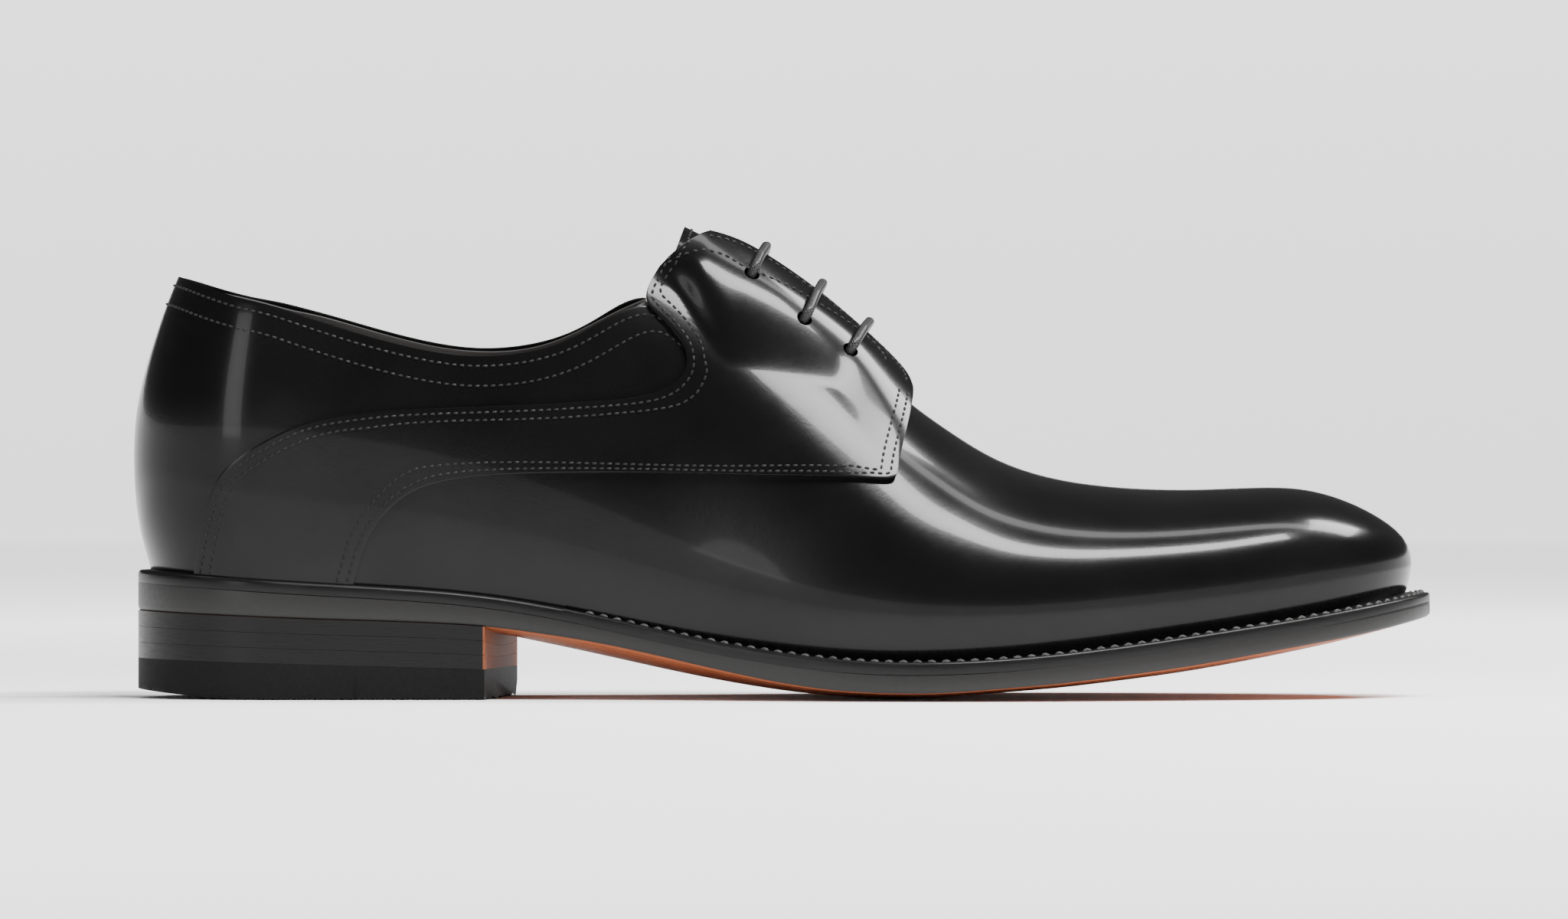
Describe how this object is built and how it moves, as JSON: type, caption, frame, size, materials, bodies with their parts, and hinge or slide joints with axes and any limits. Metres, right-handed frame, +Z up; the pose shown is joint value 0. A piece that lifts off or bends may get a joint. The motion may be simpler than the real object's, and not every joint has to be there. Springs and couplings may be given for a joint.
{
  "type": "leather dress shoe",
  "caption": "Black leather dress shoe with open lacing, a stitched welt, a leather sole and a stacked heel; the tongue folds in for the foot to enter.",
  "frame": {"origin": "on the ground, in the middle of the bounding box seen from above", "axes": "+X to the toe, +Y to the inner (medial) side of a right shoe, +Z up"},
  "size_m": [0.3049, 0.1056, 0.1106],
  "materials": {
    "upper_leather": "high shine",
    "lining_leather": "matt",
    "stiffener": "matt",
    "insole_leather": "matt",
    "canvas": "matt",
    "cork": "matt",
    "steel": "plain",
    "edge_leather": "satin",
    "sole_leather": "satin",
    "lift_leather": "satin",
    "heel_rubber": "matt",
    "nail_brass": "plain",
    "eyelet_brass": "satin",
    "lace_cord": "waxed",
    "aglet": "satin",
    "thread": "waxed"
  },
  "bodies": {
    "shoe": {"vamp": "upper_leather", "quarter_lateral": "upper_leather", "quarter_medial": "upper_leather", "back_panel": "upper_leather", "vamp_lining": "lining_leather", "quarter_lining": "lining_leather", "toe_puff": "stiffener", "heel_stiffener": "stiffener", "insole": "insole_leather", "insole_rib": "canvas", "heel_sock": "lining_leather", "cork_filler": "cork", "shank": "steel", "welt": "edge_leather", "heel_rand": "edge_leather", "outsole": "sole_leather", "heel_lift_1": "lift_leather", "heel_lift_2": "lift_leather", "heel_lift_3": "lift_leather", "top_piece": "heel_rubber", "heel_nails": "nail_brass", "top_piece_pins": "nail_brass", "eyelets_lateral": "eyelet_brass", "eyelets_medial": "eyelet_brass", "lace": "lace_cord", "lace_aglets": "aglet", "welt_stitch": "thread"},
    "tongue_flap": {"tongue": "upper_leather", "tongue_lining": "lining_leather"}
  },
  "joints": [
    {"name": "tongue_fold", "type": "hinge", "parent": "shoe", "child": "tongue_flap", "pos_m": [0.0175, 0.0012, 0.0749], "axis": [0, -1, 0], "range_deg": [0, 20], "stiffness_Nm_per_rad": 0.15}
  ]
}
